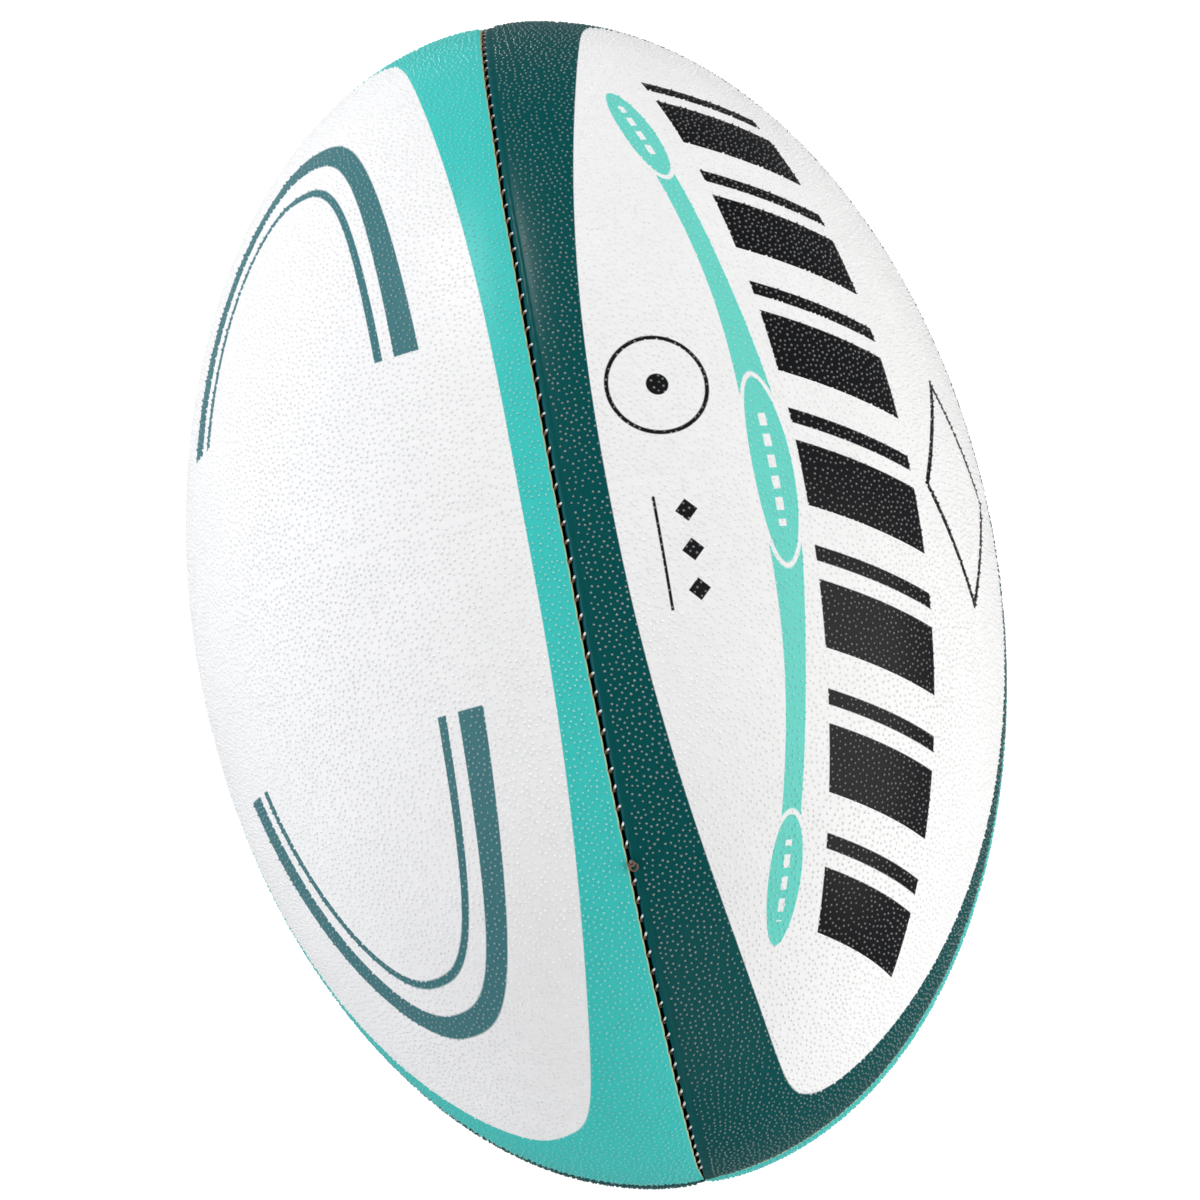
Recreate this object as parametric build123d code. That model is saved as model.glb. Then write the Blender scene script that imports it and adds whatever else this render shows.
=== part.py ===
from build123d import *
from math import atan2, degrees
import os

# A size 5 rugby ball lying on its side, in millimetres.
# The long axis is Y, the origin is the middle of the ball, and +Z is up.
# Four sewn panels meet in seams that face up (+Z), right (+X), down (-Z) and left (-X).
# Every layer is named by its depth: how far it lies below the ball's outer surface.

# Overall shape
ball_length = 288.0
ball_width = 194.0
belly_pull = 0.53  # how long the side stays near its full width, 0.552 for an ellipse
tip_pull = 0.58  # how blunt the two ends are, 0.552 for an ellipse

# Panel layers, from the outside inwards
skin_thickness = 1.0
ply_thickness = 0.34
ply_names = ["outer", "middle", "inner"]
layer_gap = 0.02
ply_setback = 2.05  # from the seam's middle plane to the trimmed edge of the fabric

# Seams
seam_gap = 0.3  # between the two turned-in edges
turned_edge_depth = 6.0
rolled_edge_radius = 0.9
tip_hole_radius = 1.4  # the small opening at each end, where four rolled tips meet
stitch_pitch = 4.3
stitch_depth = 1.8
stitch_end_margin = 7.0  # seam length without a stitch at each end of the ball
thread_radius = 0.35
thread_hole_radius = 0.4
thread_clearance = 0.05

# Bladder
bladder_thickness = 0.55
bladder_clearance = 0.1
bladder_channel_half_width = 2.15  # the bladder bulges in beside the seam edges

# Valve, in the left seam at mid length
valve_seat_half = 17.0  # the bladder is pressed in over this square around the valve
valve_seat_depth = 3.3  # outer face of the bladder inside that square
valve_stitch_space = 5.0  # no stitch this near the valve's middle
valve_top_depth = 0.6
valve_length = 18.0
stem_radius = 3.2
stem_clearance = 0.15
core_radius = 1.7
core_clearance = 0.03
core_length = 14.0
needle_channel_radius = 0.95
needle_channel_length = 11.5
funnel_radius = 1.35
funnel_length = 0.8
lip_slit_width = 0.2
lip_slit_height = 1.7
lip_slit_overlap = 0.5
valve_base_radius = 11.0
valve_base_thickness = 1.2
valve_patch_radius = 16.0
valve_patch_thickness = 0.6

# Closing knot, in the top seam towards the lower end of the ball
knot_along = 84.0  # seam length from the middle of the ball
knot_radius = 0.44
knot_thread_radius = 0.25
large_loop_radius = 0.85
small_loop_radius = 0.6
loop_lift = 0.42
small_loop_tilt = 25.0
loop_start = -200.0  # angle where a loop leaves the knot
loop_arc = 320.0

side_turns = {"upper_right": 0, "lower_right": 90, "lower_left": 180, "upper_left": 270}
seam_turns = {"top": 0, "right": 90, "bottom": 180, "left": 270}
reach = 400.0  # longer than the ball, for cutting blocks
overrun = 1.0  # how far a cutter passes beyond what it cuts
below_valve_layers = 24.0  # deeper than every layer that the stem passes


def half_width_at(depth):
    return ball_width / 2 - depth


def half_length_at(depth):
    return ball_length / 2 - depth


def side_curve(depth):
    """One quarter of the outline, from the widest point to the far end, in the XY plane."""
    wide = half_width_at(depth)
    long = half_length_at(depth)
    return Bezier((wide, 0), (wide, belly_pull * long), (tip_pull * wide, long), (0, long))


def full_ball(depth):
    """The solid ball whose surface lies this deep below the outer surface."""
    long = half_length_at(depth)
    far_side = side_curve(depth)
    near_side = mirror(far_side, about=Plane.XZ)
    axis = Line((0, -long), (0, long))
    outline = make_face([far_side, near_side, axis])
    return revolve(outline, axis=Axis.Y, revolution_arc=360)


def quarter_block(setback):
    """The corner of space beyond two seam planes, moved in by the setback."""
    block = Box(reach, reach, reach, align=(Align.MIN, Align.CENTER, Align.MIN))
    return Pos(setback, 0, setback) * block


def turn(shape, angle):
    """Turn about the long axis, clockwise seen from the lower end."""
    return Rot(0, angle, 0) * shape


def on_top_seam(depth, along):
    """A place in the top seam's middle plane, its Y along the seam and its Z outwards."""
    curve = side_curve(depth)
    share = abs(along) / curve.length
    point = curve.position_at(share)
    tangent = curve.tangent_at(share)
    slope = degrees(atan2(tangent.X, tangent.Y))
    way = 1 if along > 0 else -1
    return Pos(0, way * point.Y, point.X) * Rot(way * slope, 0, 0)


def along_top_seam(piece, free_middle=0.0):
    """Copies of a small piece at every stitch of the top seam, as a list."""
    usable = side_curve(stitch_depth).length - stitch_end_margin
    pieces = []
    for number in range(int(usable / stitch_pitch)):
        along = (number + 0.5) * stitch_pitch
        if along > free_middle:
            pieces.append(on_top_seam(stitch_depth, along) * piece)
            pieces.append(on_top_seam(stitch_depth, -along) * piece)
    return pieces


def thread_hole():
    length = seam_gap + 2 * skin_thickness + overrun
    return Rot(0, 90, 0) * Cylinder(thread_hole_radius, length)


def stitch():
    """A thread through both edges, with a strand along the back of each."""
    side = seam_gap / 2 + skin_thickness + thread_clearance + thread_radius
    across = Rot(0, 90, 0) * Cylinder(thread_radius, 2 * side)
    strand_length = stitch_pitch - 2 * thread_clearance
    strand = Rot(90, 0, 0) * Cylinder(thread_radius, strand_length)
    return across + Pos(side, 0, 0) * strand + Pos(-side, 0, 0) * strand


def valve_column(radius, from_depth, to_depth):
    """A round column on the valve's axis between two depths at the ball's left side."""
    length = to_depth - from_depth
    middle = -half_width_at((from_depth + to_depth) / 2)
    return Pos(middle, 0, 0) * Rot(0, 90, 0) * Cylinder(radius, length)


def panel_skin():
    """The rubber skin of the upper right panel, with its edges turned in along both seams."""
    quarter = full_ball(0) & quarter_block(seam_gap / 2)
    rims = [edge for edge in quarter.edges() if edge.geom_type == GeomType.BSPLINE]
    inside = full_ball(skin_thickness) & quarter_block(seam_gap / 2 + skin_thickness)
    tip_hole = Rot(90, 0, 0) * Cylinder(tip_hole_radius, reach)
    skin = fillet(rims, rolled_edge_radius) - tip_hole - inside - full_ball(turned_edge_depth)
    holes = along_top_seam(thread_hole())
    return skin - holes - [turn(hole, 90) for hole in holes]


def panel_ply(number):
    """One fabric layer of the upper right panel, counted from the outside."""
    depth = skin_thickness + layer_gap + number * (ply_thickness + layer_gap)
    layer = full_ball(depth) - full_ball(depth + ply_thickness)
    return layer & quarter_block(ply_setback)


def plies_depth():
    """How deep the inner face of the last fabric layer lies."""
    return skin_thickness + len(ply_names) * (ply_thickness + layer_gap)


def valve_seat_block(grow):
    """The square around the valve, through the ball's left wall."""
    width = 2 * (valve_seat_half + grow)
    return Pos(-reach / 4, 0, 0) * Box(reach / 2, width, width)


def clear_valve(layer):
    """Cut the stem's hole, and trim the turned-in edge beside the valve."""
    trimmed = valve_seat_block(bladder_clearance) & full_ball(valve_seat_depth - bladder_clearance)
    hole = valve_column(stem_radius + stem_clearance, -overrun, below_valve_layers)
    return layer - hole - trimmed


def bladder_space(depth):
    """The bladder filled solid, pressed in along the seams, this much below its outer face."""
    top = plies_depth() + bladder_clearance + depth
    bottom = turned_edge_depth + bladder_clearance + depth
    half_channel = bladder_channel_half_width + depth
    lobe = full_ball(top) & quarter_block(half_channel)
    lobes = [turn(lobe, angle) for angle in side_turns.values()]
    bridge = full_ball(top) & valve_seat_block(-depth)
    seat = valve_seat_block(depth) - full_ball(valve_seat_depth + depth)
    return full_ball(bottom) + lobes + bridge - seat


def bladder():
    shell = bladder_space(0) - bladder_space(bladder_thickness)
    return shell - valve_column(stem_radius + layer_gap, -overrun, below_valve_layers)


def sheet_under_bladder(radius, extra_depth, thickness):
    """A round sheet that follows the inside of the bladder around the stem."""
    depth = valve_seat_depth + bladder_thickness + layer_gap + extra_depth
    sheet = full_ball(depth) - full_ball(depth + thickness)
    return sheet & valve_column(radius, 0, below_valve_layers)


def valve_patch():
    sheet = sheet_under_bladder(valve_patch_radius, 0, valve_patch_thickness)
    return sheet - valve_column(stem_radius + layer_gap, 0, below_valve_layers)


def valve_housing():
    """A moulded stem with a wide base bonded under the patch, bored for the core."""
    end_depth = valve_top_depth + valve_length
    below_patch = valve_patch_thickness + layer_gap
    base = sheet_under_bladder(valve_base_radius, below_patch, valve_base_thickness)
    stem = valve_column(stem_radius, valve_top_depth, end_depth)
    core_room = valve_column(core_radius + core_clearance, 0, valve_top_depth + core_length)
    outlet = valve_column(needle_channel_radius, 0, end_depth + overrun)
    return stem + base - core_room - outlet


def valve_core():
    """A soft plug with a funnel, a needle channel and a slit that closes itself."""
    core_end = valve_top_depth + core_length - layer_gap
    channel_end = valve_top_depth + needle_channel_length
    plug = valve_column(core_radius, valve_top_depth, core_end)
    channel = valve_column(needle_channel_radius, 0, channel_end)
    funnel = Rot(0, 90, 0) * Cone(funnel_radius, needle_channel_radius, funnel_length)
    funnel_middle = -half_width_at(valve_top_depth + funnel_length / 2)
    slit_start = channel_end - lip_slit_overlap
    slit = Box(2 * (core_end - slit_start), lip_slit_width, lip_slit_height)
    slit_middle = -half_width_at(core_end)
    return plug - channel - Pos(funnel_middle, 0, 0) * funnel - Pos(slit_middle, 0, 0) * slit


def thread_loop(radius, tilt):
    """A loop of thread, open where it runs into a knot at the origin."""
    path = CenterArc((radius, 0, 0), radius, loop_start, loop_arc)
    section = Plane(origin=path @ 0, z_dir=path % 0) * Circle(knot_thread_radius)
    return Pos(0, 0, loop_lift) * Rot(0, -tilt, 0) * sweep(section, path=path)


def closing_knot():
    """A knot in the seam's groove, with two loops of its thread lying on the panel beside it."""
    knot = Sphere(knot_radius)
    knot += Pos(0, -knot_radius, 0) * thread_loop(large_loop_radius, 0)
    knot += Pos(0, knot_radius, 0) * thread_loop(small_loop_radius, small_loop_tilt)
    return on_top_seam(0, -knot_along) * knot


def save(name, shape):
    export_step(shape, "parts/" + name + ".step")
    print(name, round(shape.volume, 1), "mm3")


os.makedirs("parts", exist_ok=True)

skin = panel_skin()
plies = [panel_ply(number) for number in range(len(ply_names))]
for side, angle in side_turns.items():
    beside_valve = side.endswith("left")
    this_skin = turn(skin, angle)
    save("skin_" + side, clear_valve(this_skin) if beside_valve else this_skin)
    for name, ply in zip(ply_names, plies):
        this_ply = turn(ply, angle)
        save(name + "_ply_" + side, clear_valve(this_ply) if beside_valve else this_ply)

for seam, angle in seam_turns.items():
    free_middle = valve_stitch_space if seam == "left" else 0.0
    stitches = [turn(piece, angle) for piece in along_top_seam(stitch(), free_middle)]
    save("stitches_" + seam, Compound(stitches))

save("bladder", bladder())
save("valve_patch", valve_patch())
save("valve_housing", valve_housing())
save("valve_core", valve_core())
save("closing_knot", closing_knot())
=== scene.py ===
import math
import bpy
import bmesh
import numpy as np
from mathutils import Matrix, Vector


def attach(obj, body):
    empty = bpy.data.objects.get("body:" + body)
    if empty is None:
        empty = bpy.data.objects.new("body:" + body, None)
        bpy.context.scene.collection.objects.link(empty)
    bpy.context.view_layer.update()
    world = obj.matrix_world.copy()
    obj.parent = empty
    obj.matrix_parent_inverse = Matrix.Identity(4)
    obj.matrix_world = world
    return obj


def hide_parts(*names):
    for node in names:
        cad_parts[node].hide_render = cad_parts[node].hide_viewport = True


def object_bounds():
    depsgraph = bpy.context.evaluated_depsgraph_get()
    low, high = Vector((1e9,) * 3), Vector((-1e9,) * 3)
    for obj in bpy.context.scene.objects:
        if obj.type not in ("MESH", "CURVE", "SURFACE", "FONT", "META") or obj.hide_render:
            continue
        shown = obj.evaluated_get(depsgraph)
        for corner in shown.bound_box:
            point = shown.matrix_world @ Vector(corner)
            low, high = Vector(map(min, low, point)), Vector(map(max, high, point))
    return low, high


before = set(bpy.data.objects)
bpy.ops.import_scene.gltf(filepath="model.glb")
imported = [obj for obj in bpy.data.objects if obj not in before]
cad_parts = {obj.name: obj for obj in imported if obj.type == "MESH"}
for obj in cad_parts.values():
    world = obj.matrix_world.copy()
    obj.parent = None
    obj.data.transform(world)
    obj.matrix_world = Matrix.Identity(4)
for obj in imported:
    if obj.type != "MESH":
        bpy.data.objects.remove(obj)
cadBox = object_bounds()
print("frame loaded,", len(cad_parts), "pieces")

mm = 0.001

# the ball's outline, turned about its long axis (Y)
ballForm = {
    "halfWidth": (cadBox[1].x - cadBox[0].x) / 2,
    "halfLength": (cadBox[1].y - cadBox[0].y) / 2,
    "bellyPull": 0.53,  # how long the side stays near full width
    "tipPull": 0.58,  # how blunt the ends are
    "tipRadius": 1.4 * mm,  # the panels stop at this ring around each tip
}


def measureOutline(form, steps=4000):
    t = np.linspace(0, 1, steps)
    wide, long = form["halfWidth"], form["halfLength"]
    radius = wide * ((1 - t) ** 3 + 3 * (1 - t) ** 2 * t + 3 * (1 - t) * t**2 * form["tipPull"])
    height = long * (3 * (1 - t) ** 2 * t * form["bellyPull"] + 3 * (1 - t) * t**2 + t**3)
    run = np.concatenate([[0], np.cumsum(np.hypot(np.diff(radius), np.diff(height)))])
    return {
        "run": run,  # arc length from the middle
        "radius": radius,
        "height": height,
        "outRadius": np.gradient(height, run),  # the surface's outward direction
        "outHeight": -np.gradient(radius, run),
        "bearing": np.arctan2(height / long, radius / wide),
    }


outline = measureOutline(ballForm)
seamEnd = float(np.interp(-ballForm["tipRadius"], -outline["radius"], outline["run"]))


def ringAt(along, depth=0.0):
    # radius and Y of the ring at this arc length, sunk below the surface by depth
    part = {key: np.interp(np.abs(along), outline["run"], outline[key]) for key in outline}
    radius = part["radius"] - depth * part["outRadius"]
    return radius, np.sign(along) * (part["height"] - depth * part["outHeight"])


def placeOn(along, azimuth, depth=0.0):
    # azimuth 0 is the top seam, and grows towards +X
    radius, y = ringAt(along, depth)
    return np.stack([radius * np.sin(azimuth), y, radius * np.cos(azimuth)], axis=-1)


def outwardAt(along, azimuth):
    outRadius = np.interp(np.abs(along), outline["run"], outline["outRadius"])
    outHeight = np.interp(np.abs(along), outline["run"], outline["outHeight"])
    way = np.sign(along)
    return np.stack([outRadius * np.sin(azimuth), way * outHeight, outRadius * np.cos(azimuth)], axis=-1)


def readPlace(points):
    # arc length and azimuth of points on or near the surface
    around = np.hypot(points[:, 0], points[:, 2])
    bearing = np.arctan2(np.abs(points[:, 1]) / ballForm["halfLength"], around / ballForm["halfWidth"])
    along = np.interp(bearing, outline["bearing"], outline["run"]) * np.sign(points[:, 1])
    return along, np.arctan2(points[:, 0], points[:, 2])


# seams
seamForm = {
    "halfGap": 0.34 * mm,
    "closedGap": 0.07 * mm,  # the gap closes this far down
    "closingDepth": 1.45 * mm,
    "leastGapShare": 0.4,  # of the gap, where the edges run out at the tips
    "stitchOpening": 0.1 * mm,  # the gap widens where a stitch pulls
    "stitchPull": 0.15 * mm,  # and the edge is drawn in
    "stitchPitch": 4.3 * mm,
    "rollRadius": {"light": 0.5 * mm, "dark": 1.0 * mm},
    "creaseDepth": {"light": 0.0, "dark": 0.16 * mm},  # the roll ends in a shallow crease
    "creaseAway": 2.15 * mm,
    "creaseWidth": 0.3 * mm,
    "turnedDepth": 6.0 * mm,
    "thickness": 1.0 * mm,
    "valleyDepth": 0.4 * mm,
    "valleyWidth": 5.0 * mm,
    "wander": 0.13 * mm,
    "wanderLengths": (0.143, 0.061, 0.037),
    "valveRadius": 3.35 * mm,
    "valveTrim": 17.1 * mm,  # the turned edge is cut short this near the valve
    "valveTrimDepth": 3.2 * mm,
    "seed": 11,
}
seamTurn = {"top": 0, "right": 90, "bottom": 180, "left": 270}
panelTurn = {"upper_right": 0, "lower_right": 90, "lower_left": 180, "upper_left": 270}
panelTone = {"upper_right": "dark", "lower_right": "light", "lower_left": "dark", "upper_left": "light"}
seamAt = {turn: seam for seam, turn in seamTurn.items()}


def seamWander(seam, along):
    draw = np.random.default_rng(seamForm["seed"] + seamTurn[seam])
    offset = np.zeros_like(along)
    for length in seamForm["wanderLengths"]:
        offset += np.sin(2 * math.pi * (along / length + draw.random()))
    return offset * seamForm["wander"] / len(seamForm["wanderLengths"])


def stitchNearness(along):
    # 1 at a stitch, 0 halfway between two
    return 0.5 - 0.5 * np.cos(2 * math.pi * along / seamForm["stitchPitch"])


def seamCourse(seam, along):
    pull = stitchNearness(along)
    gap = seamForm["halfGap"] + seamForm["stitchOpening"] * pull**3
    flange = np.full_like(along, seamForm["turnedDepth"])
    if seam == "left":
        gap = np.maximum(gap, np.sqrt(np.maximum(0, seamForm["valveRadius"] ** 2 - along**2)))
        flange[np.abs(along) < seamForm["valveTrim"]] = seamForm["valveTrimDepth"]
    return gap, flange, seamForm["stitchPull"] * pull**2


panelForm = {
    "stationsPerStitch": 6,
    "rollSteps": 5,
    "edgeSteps": (0.4, 0.75, 1.1, 1.8, 2.8, 4.2, 6.0, 8.5),  # mm past the roll
    "edgeZone": 10.0 * mm,
    "openSteps": 26,  # columns between the two edge zones
    "innerSteps": 6,  # columns across the inside
    "zoneShare": 0.69,  # of the ring's radius that one edge zone may take
    "pullReach": 1.5 * mm,
    "tipStations": (0.3, 1.0, 2.0, 3.2, 4.6),  # mm before the tip ring
    "valveReach": 3.6 * mm,
    "valveSteps": 25,
    "trimStep": 0.05 * mm,
    "leastStep": 0.04 * mm,
}


def edgeShrink(along):
    # the edge is drawn narrower where the panel runs out at its tips
    return np.minimum(1, panelForm["zoneShare"] * ringAt(along)[0] / panelForm["edgeZone"])


def valleyAt(away):
    return seamForm["valleyDepth"] * np.exp(-((away / seamForm["valleyWidth"]) ** 2))


def edgeSection(seam, along, tone):
    # columns from the foot of the turned-in edge, over the roll and out onto the panel
    gap, flange, pull = seamCourse(seam, along)
    shrink = edgeShrink(along)
    roll = seamForm["rollRadius"][tone] * shrink
    gap = gap * np.maximum(shrink, seamForm["leastGapShare"])
    closed = np.minimum(seamForm["closedGap"], gap)
    closing = np.full_like(along, seamForm["closingDepth"])
    away, deep = [closed, closed, gap], [flange, closing, roll + 0 * along]
    for angle in np.linspace(0, math.pi / 2, panelForm["rollSteps"] + 1)[1:]:
        away.append(gap + roll * (1 - math.cos(angle)))
        deep.append(roll * (1 - math.sin(angle)))
    for step in panelForm["edgeSteps"]:
        away.append(gap + roll + step * mm * shrink)
        deep.append(np.zeros_like(along))
    away, deep = np.array(away), np.array(deep)
    deep += valleyAt(away) + pull * np.exp(-((away / panelForm["pullReach"]) ** 2))
    crease = np.exp(-(((away - seamForm["creaseAway"]) / seamForm["creaseWidth"]) ** 2))
    deep += seamForm["creaseDepth"][tone] * crease * shrink
    return away, deep


def innerSection(seam, along, tone):
    gap, flange, pull = seamCourse(seam, along)
    shrink = edgeShrink(along)
    wall = seamForm["thickness"] * shrink
    away = np.array([gap * np.maximum(shrink, seamForm["leastGapShare"]) + wall] * 3)
    deep = np.array([flange, (flange + seamForm["thickness"]) / 2, seamForm["thickness"] + 0 * along])
    return away, deep + valleyAt(away)


def stationsFor(side):
    form = panelForm
    step = seamForm["stitchPitch"] / form["stationsPerStitch"]
    regular = np.arange(int(seamEnd / step)) * step
    half = np.concatenate([regular, [seamEnd], seamEnd - np.array(form["tipStations"]) * mm])
    if side.endswith("left"):
        around = np.linspace(0, form["valveReach"], form["valveSteps"])
        trim = seamForm["valveTrim"] + np.array([-1, 1]) * form["trimStep"]
        half = np.concatenate([half, around, trim])
    half = np.unique(np.round(half, 6))
    half = half[np.append(True, np.diff(half) > form["leastStep"])]
    return np.concatenate([-half[:0:-1], half])


def zipEdges(first, second):
    # triangles between two lines of vertices with different counts, with each corner's share
    faces, shares, i, j = [], [], 0, 0
    while i < len(first) - 1 or j < len(second) - 1:
        nextFirst = (i + 1) / (len(first) - 1)
        nextSecond = (j + 1) / (len(second) - 1)
        here, there = i / (len(first) - 1), j / (len(second) - 1)
        if j == len(second) - 1 or (i < len(first) - 1 and nextFirst <= nextSecond):
            faces.append((first[i], first[i + 1], second[j]))
            shares.append(((here, 1), (nextFirst, 1), (there, 0)))
            i += 1
        else:
            faces.append((first[i], second[j + 1], second[j]))
            shares.append(((here, 1), (nextSecond, 0), (there, 0)))
            j += 1
    return faces, shares


mapForm = {"degreesAcross": 100.0, "millimetresAlong": 400.0}  # what the panel's map spans


def panelMapOf(along, azimuth, turn):
    # across the panel from its middle line, and along it from the middle of the ball
    across = (np.degrees(azimuth) - turn - 45 + 180) % 360 - 180
    return across / mapForm["degreesAcross"] + 0.5, along / mm / mapForm["millimetresAlong"] + 0.5


# shares of the bake map: the outside between the turned-in edges, then the inside
bakeForm = {
    "turnedIn": (0.0, 0.045), "outside": (0.05, 0.88), "turnedOut": (0.885, 0.925), "inside": (0.935, 1.0),
    "margin": 0.01, "capWidth": 0.92, "capHeight": 0.009, "gripSpread": 1.08,
}


def buildPanel(side):
    turn = panelTurn[side]
    start, end = seamAt[turn], seamAt[(turn + 90) % 360]
    along = stationsFor(side)
    turnHere = math.radians(turn)

    def azimuthsOf(section, seam, way):
        away, deep = section(seam, along, panelTone[side])
        radius = ringAt(along, deep)[0]
        offset = seamWander(seam, along) * edgeShrink(along)
        return np.arcsin(np.clip((away + way * offset) / radius, -1, 1)), deep

    startAz, startDeep = azimuthsOf(edgeSection, start, 1)
    endAz, endDeep = azimuthsOf(edgeSection, end, -1)
    endAz = math.pi / 2 - endAz
    shares = np.linspace(0, 1, panelForm["openSteps"] + 2)[1:-1, None]
    openAz = startAz[-1] + (endAz[-1] - startAz[-1]) * shares
    openDeep = startDeep[-1] + (endDeep[-1] - startDeep[-1]) * shares
    outerAz = np.concatenate([startAz, openAz, endAz[::-1]])
    outerDeep = np.concatenate([startDeep, openDeep, endDeep[::-1]])

    innerStartAz, innerStartDeep = azimuthsOf(innerSection, start, 1)
    innerEndAz, innerEndDeep = azimuthsOf(innerSection, end, -1)
    innerEndAz = math.pi / 2 - innerEndAz
    shares = np.linspace(0, 1, panelForm["innerSteps"] + 2)[1:-1, None]
    innerOpenAz = innerStartAz[-1] + (innerEndAz[-1] - innerStartAz[-1]) * shares
    innerOpenDeep = np.full_like(innerOpenAz, seamForm["thickness"])
    innerAz = np.concatenate([innerStartAz, innerOpenAz, innerEndAz[::-1]])
    innerDeep = np.concatenate([innerStartDeep, innerOpenDeep, innerEndDeep[::-1]])

    azimuth = np.concatenate([outerAz, innerAz[::-1]]) + turnHere
    deep = np.concatenate([outerDeep, innerDeep[::-1]])
    columns, stations = azimuth.shape
    points = placeOn(np.broadcast_to(along, azimuth.shape), azimuth, deep)

    def corner(column, station):
        return (column % columns) * stations + station

    # the outside follows the azimuth across the bake map, and the rest is laid beside it
    outerCount = len(outerAz)
    flangeRows = 3
    turned = flangeRows + panelForm["rollSteps"]
    low, high = bakeForm["outside"]
    outsideShare = low + (high - low) * np.degrees(outerAz.mean(axis=1)) / 90
    outsideShare[:turned] = np.linspace(*bakeForm["turnedIn"], turned)
    outsideShare[-turned:] = np.linspace(*bakeForm["turnedOut"], turned)
    insideShare = np.linspace(*bakeForm["inside"], len(innerAz) + 1)
    bakeAcross = np.concatenate([outsideShare, insideShare])
    margin = bakeForm["margin"]
    bakeAlong = margin + (1 - 2 * margin) * (along - along[0]) / (along[-1] - along[0])

    faces, bake = [], []
    for column in range(columns):
        for station in range(stations - 1):
            left, right = column, column + 1
            ring = ((left, station), (right, station), (right, station + 1), (left, station + 1))
            faces.append([corner(*spot) for spot in ring])
            bake += [(bakeAcross[across], bakeAlong[place]) for across, place in ring]
    for station, edge in ((0, 0.0), (stations - 1, 1.0)):
        outer = [corner(column, station) for column in range(outerCount)]
        inner = [corner(column, station) for column in range(columns - 1, outerCount - 1, -1)]
        capFaces, capShares = zipEdges(outer, inner)
        inset = bakeForm["capHeight"] * (1 - 2 * edge)
        for face, share in zip(capFaces, capShares):
            faces.append(face)
            bake += [(bakeForm["capWidth"] * across, edge + inset * lift) for across, lift in share]

    mesh = bpy.data.meshes.new("panel_" + side)
    mesh.from_pydata(points.reshape(-1, 3).tolist(), [], faces)
    mapAcross, mapAlong = panelMapOf(np.broadcast_to(along, azimuth.shape), azimuth, turn)
    perVertex = np.stack([mapAcross.ravel(), mapAlong.ravel()], axis=-1)
    fillMaps(mesh, perVertex, np.array(bake))
    mesh.shade_smooth()
    # 1 down the turned-in edge and inside, fading to 0 over the roll
    rollSteps = panelForm["rollSteps"]
    overRoll = 1 - np.arange(1, rollSteps + 1) / rollSteps
    edgeRim = np.concatenate([np.ones(flangeRows), overRoll, np.zeros(len(startAz) - turned)])
    rim = np.concatenate([edgeRim, np.zeros(len(openAz)), edgeRim[::-1], np.ones(len(innerAz))])
    layer = mesh.attributes.new("rim", "FLOAT", "POINT")
    layer.data.foreach_set("value", np.repeat(rim, stations))
    faceOutwards(mesh)
    return linkObject("panel_" + side, mesh)


def linkObject(name, data):
    piece = bpy.data.objects.new(name, data)
    bpy.context.scene.collection.objects.link(piece)
    return piece


def cornersOf(mesh):
    # the vertex at every face corner
    corners = np.zeros(len(mesh.loops), dtype=np.int32)
    mesh.loops.foreach_get("vertex_index", corners)
    return corners


def fillMaps(mesh, perVertex, bake):
    panelMap = mesh.uv_layers.new(name="panelMap")
    panelMap.data.foreach_set("uv", perVertex[cornersOf(mesh)].ravel())
    bakeMap = mesh.uv_layers.new(name="OFBake")
    bakeMap.data.foreach_set("uv", bake.ravel())


def faceOutwards(mesh):
    work = bmesh.new()
    work.from_mesh(mesh)
    bmesh.ops.recalc_face_normals(work, faces=work.faces)
    work.to_mesh(mesh)
    work.free()


# node tree helpers
def addNode(tree, kind, **settings):
    node = tree.nodes.new(kind)
    for name, value in settings.items():
        setattr(node, name, value)
    return node


def feed(tree, socket, value):
    if isinstance(value, bpy.types.NodeSocket):
        tree.links.new(value, socket)
    else:
        socket.default_value = value


def shown(sockets, name):
    return [socket for socket in sockets if socket.name == name and socket.enabled][0]


def calc(tree, operation, *values, clamp=False):
    node = addNode(tree, "ShaderNodeMath", operation=operation, use_clamp=clamp)
    for socket, value in zip(node.inputs, values):
        feed(tree, socket, value)
    return node.outputs[0]


def plus(tree, first, second):
    return calc(tree, "ADD", first, second)


def minus(tree, value, less):
    return calc(tree, "SUBTRACT", value, less)


def times(tree, first, second):
    return calc(tree, "MULTIPLY", first, second)


def over(tree, value, divisor):
    return calc(tree, "DIVIDE", value, divisor)


def unsigned(tree, value):
    return calc(tree, "ABSOLUTE", value)


def unlike(tree, value):
    return minus(tree, 1.0, value)


def apart(tree, value, other):
    return unsigned(tree, minus(tree, value, other))


def squared(tree, value):
    return calc(tree, "POWER", value, 2.0)


def within(tree, value, limit, blur):
    # 1 where value is below limit, with a soft edge this wide
    return calc(tree, "MULTIPLY_ADD", value, -1 / blur, limit / blur + 0.5, clamp=True)


def both(tree, *masks):
    result = masks[0]
    for mask in masks[1:]:
        result = times(tree, result, mask)
    return result


def either(tree, *masks):
    result = masks[0]
    for mask in masks[1:]:
        result = calc(tree, "MAXIMUM", result, mask)
    return result


def butNot(tree, mask, hole):
    return times(tree, mask, unlike(tree, hole))


def paint(tree, mask, under, over):
    node = addNode(tree, "ShaderNodeMix", data_type="RGBA")
    feed(tree, node.inputs[0], mask)
    feed(tree, node.inputs[6], under)
    feed(tree, node.inputs[7], over)
    return node.outputs[2]


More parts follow.
